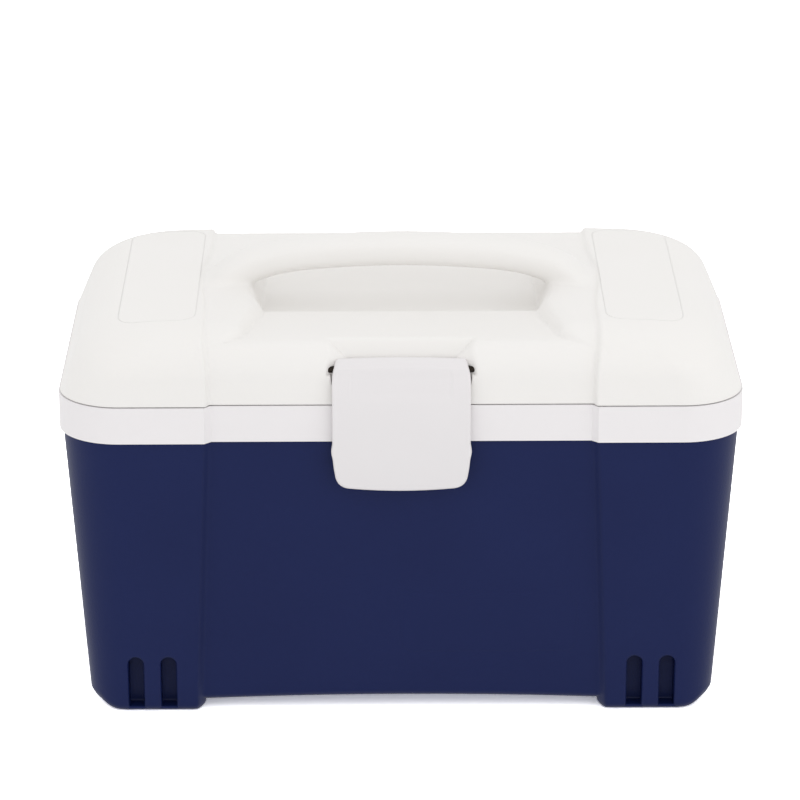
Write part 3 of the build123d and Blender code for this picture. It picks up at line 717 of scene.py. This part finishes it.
shellLook = {
    "top": 157.6, "trim": 161.0,               # mm above the ground: band's edge, end of the skin
    "halfX": 178.0, "halfY": 104.0, "corner": 31.0, "lean": 4.1,
    "neckIn": 0.5, "neckRun": 0.6,
    "strip": 3.5, "stripHalf": 99.0, "stripSpread": 2.4, "stripRamp": 5.0,
    "round": 4.5, "endRound": 11.0, "endShare": 1.3,
    "raised": 5.0, "arch": 2.0, "archHalf": 104.0, "footRound": 4.5, "footOut": 0.6,
    "slotsX": (124.4, 141.8), "slotHalf": 4.1, "slotTop": 32.2, "slotFloor": 83.2,
    "slotLip": 2.8, "slotBlend": 1.6,
    "patchX": 46.5, "patchZ": 51.3, "patchHalf": (46.5, 16.9), "patchCorner": 6.0,
    "patchFade": 1.5, "noPatch": -20.0,
    # inner side, (inwards, up) in mm: rim, wall, ledge and down to the floor
    "skirt": ((2.5, 0.0), (8.8, -123.0), (10.5, 0.0), (1.0, -23.0)),
}


def rounded(a, b, radius):
    # the smaller of two wall distances, with a circle of that radius where they meet
    return radius - np.hypot(np.maximum(radius - a, 0), np.maximum(radius - b, 0))


def shellField(look, x, y, z):
    # positive inside the outer shell, about the distance to its skin in mm
    away, back = np.abs(x), np.abs(y)
    drop = look["top"] - z
    lean = math.radians(look["lean"])
    drawnIn = (math.tan(lean) * np.maximum(drop, 0)
               + look["neckIn"] * smooth(-drop / look["neckRun"]))
    wall, share = insideRounded(x, y, look["halfX"], look["halfY"], look["corner"])
    wall = (wall - drawnIn) * math.cos(lean)
    # recessed strip that widens downwards, between soft ramps
    half = look["stripHalf"] + math.tan(math.radians(look["stripSpread"])) * drop
    ramp = look["stripRamp"]
    wall = wall - look["strip"] * (1 - smooth((away - half - ramp / 2) / ramp + 0.5))
    # box that stands on its raised, arched floor, and the feet below it
    floor = look["raised"] + look["arch"] * np.maximum(1 - (away / look["archHalf"]) ** 2, 0)
    middle = rounded(wall, z - floor, look["round"])
    ends = look["round"] + (look["endRound"] - look["round"]) * smooth(
        share * look["endShare"])
    feet = rounded(rounded(wall, z, ends), away - half + look["footOut"], look["footRound"])
    body = np.maximum(middle, feet)
    # flutes with round tops
    near = np.minimum(*[np.abs(away - place) for place in look["slotsX"]])
    reach = np.hypot(near, np.maximum(z - look["slotTop"] + look["slotHalf"], 0))
    flute = np.minimum(np.minimum(look["slotHalf"] - reach, back - look["slotFloor"]),
                       z - look["slotLip"])
    return cut(body, -flute, look["slotBlend"])


def makeOuterShell(look):
    def field(x, y, z):
        return shellField(look, x, y, z)

    # finer levels across the strip's ramps, the flutes and the lower edge
    points, faces = netFromField(field, (
        gradedAxis(((0, 3), (96, 0.8), (110, 2.4), (119, 0.7), (147.4, 1.5), (180, 0))),
        gradedAxis(((0, 7), (70, 1.6), (81, 0.9), (106, 0))),
        gradedAxis(((-1.2, 0.6), (6, 0.8), (37, 2), (70, 6), (156, 0.6), (159, 1.5), (164, 0)),
                   False)))
    points = settle(field, points)
    x, y, z = points.T
    # the smooth, blank place on the front
    patch = insideRounded(x - look["patchX"], z - look["patchZ"], *look["patchHalf"],
                          look["patchCorner"])[0]
    patch = np.where(y < 0, patch, look["noPatch"])
    grained = 1 - smooth(patch / look["patchFade"] + 0.5)
    shell = makeMesh("outer_shell_skin", points, faces, plastics["navyMouldedPolypropylene"],
                     "body", {"grain": grained, "panelEdge": patch})
    closeSkirt(shell.data, look["trim"], look["skirt"], below=False)
    shadeSmooth(shell.data)
    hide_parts("outer_shell")


makeOuterShell(shellLook)
print("outer shell is made")

latchLook = {
    "half": 36.0, "face": -109.2, "wall": 2.6,  # mm; the face is farthest out at the bend
    "bend": 151.6, "bottom": 131.8, "tuck": 1.0, "root": 197.65, "rootFall": 0.8,
    "leanSquare": 0.64, "leanCube": 5.16,
    "pinY": -97.5, "pinZ": 195.5, "bore": 1.85,
    "barrel": 6.3, "barrelFall": 0.9, "barrelBlend": 2.0,
    "back": -103.8, "webLow": 187.3, "webHigh": 191.1,
    "dishLow": 153.2, "dishHigh": 186.6, "dishBlend": 0.8,
    "ribLow": 150.0, "ribTip": -103.0, "ribRoot": 1.0,
    "bulge": 0.8, "bulgeHalf": 4.7,
    "inset": 0.25, "insetHalf": 26.3, "insetEdge": 1.2, "insetLow": 180.0, "insetRun": 6.0,
    # chamfers of the outline: mm across, mm up, level where they start
    "shoulder": (2.6, 8.0, 193.8), "heel": (-2.6, 13.8, 147.6), "bow": 558.0,
    "shoulderBlend": 1.0, "heelBlend": 6.0, "sideBlend": 1.5, "edgeBlend": 1.3,
}


def chamfer(across, up, level, inset, z):
    # distance inwards from a slanted edge that runs by (across, up) from that level
    return (inset * up - (z - level) * across) / math.hypot(across, up)


def latchField(look, x, y, z):
    # positive inside the latch, about the distance to its skin in mm
    away = np.abs(x)
    # face: it leans back towards the pin with the square and cube of the height above the
    # bend, and tucks in with the square of the depth below
    t = np.clip((z - look["bend"]) / (look["root"] - look["bend"]), 0, 1.2)
    u = np.clip((look["bend"] - z) / (look["bend"] - look["bottom"]), 0, 1.2)
    face = (look["face"] + look["leanSquare"] * t ** 2 + look["leanCube"] * t ** 3
            + look["tuck"] * u ** 2)
    sunk = look["inset"] * smooth((look["insetHalf"] - away) / look["insetEdge"] + 0.5)
    front = y - face - sunk * smooth((z - look["insetLow"]) / look["insetRun"])
    web = smooth((z - look["webLow"]) / (look["webHigh"] - look["webLow"]))
    behind = look["back"] + (look["pinY"] - look["back"]) * web - y
    top = look["root"] - look["rootFall"] * (away / look["half"]) ** 2 - z
    upper = np.minimum(np.minimum(behind, z - look["ribLow"]), top)
    plate = np.minimum(face + look["wall"] - y, top)
    body = np.minimum(front, np.maximum(upper, plate))
    roll = look["barrel"] - look["barrelFall"] * (away / look["half"]) ** 2
    pin = np.hypot(y - look["pinY"], z - look["pinZ"])
    body = join(body, roll - pin, look["barrelBlend"])
    dish = np.minimum(np.minimum(look["half"] - look["wall"] - away, y - face - look["wall"]),
                      np.minimum(z - look["dishLow"], look["dishHigh"] - z))
    body = cut(body, -dish, look["dishBlend"])
    rib = np.minimum(np.minimum(y - face - look["ribRoot"], look["ribTip"] - y),
                     np.minimum(z - look["ribLow"], look["dishLow"] - z))
    body = np.maximum(body, rib)
    # outline from the front: chamfered shoulders, bulges beside the rib, bowed lower edge
    swell = look["bulge"] * smooth(1 - np.abs(z - look["dishLow"]) / look["bulgeHalf"])
    inset = look["half"] - away
    side = inset + swell
    shoulder, heel = chamfer(*look["shoulder"], inset, z), chamfer(*look["heel"], inset, z)
    bow = z - look["bottom"] - away ** 2 / look["bow"]
    outline = cut(cut(side, shoulder, look["shoulderBlend"]),
                  cut(heel, bow, look["heelBlend"]), look["sideBlend"])
    return np.minimum(cut(body, outline, look["edgeBlend"]), pin - look["bore"])


def makeLatch(look):
    def field(x, y, z):
        return latchField(look, x, y, z)

    # finer levels at the inset's edge and the sides
    points, faces = netFromField(field, (
        gradedAxis(((0, 2), (25, 0.5), (28, 1.5), (31.5, 0.45), (38, 0))),
        gradedAxis(((-111, 0.45), (-90, 0)), False),
        gradedAxis(((130.5, 0.5), (203.5, 0)), False)))
    points = settle(field, points)
    # painted shade: the latch gets the darker copy of the white smooth plastic
    latch = makeMesh("latch_plate", points, faces, plastics["latchPaintedShadePolypropylene"],
                     "latch")
    shadeSmooth(latch.data)
    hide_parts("latch")


makeLatch(latchLook)
print("latch is made")
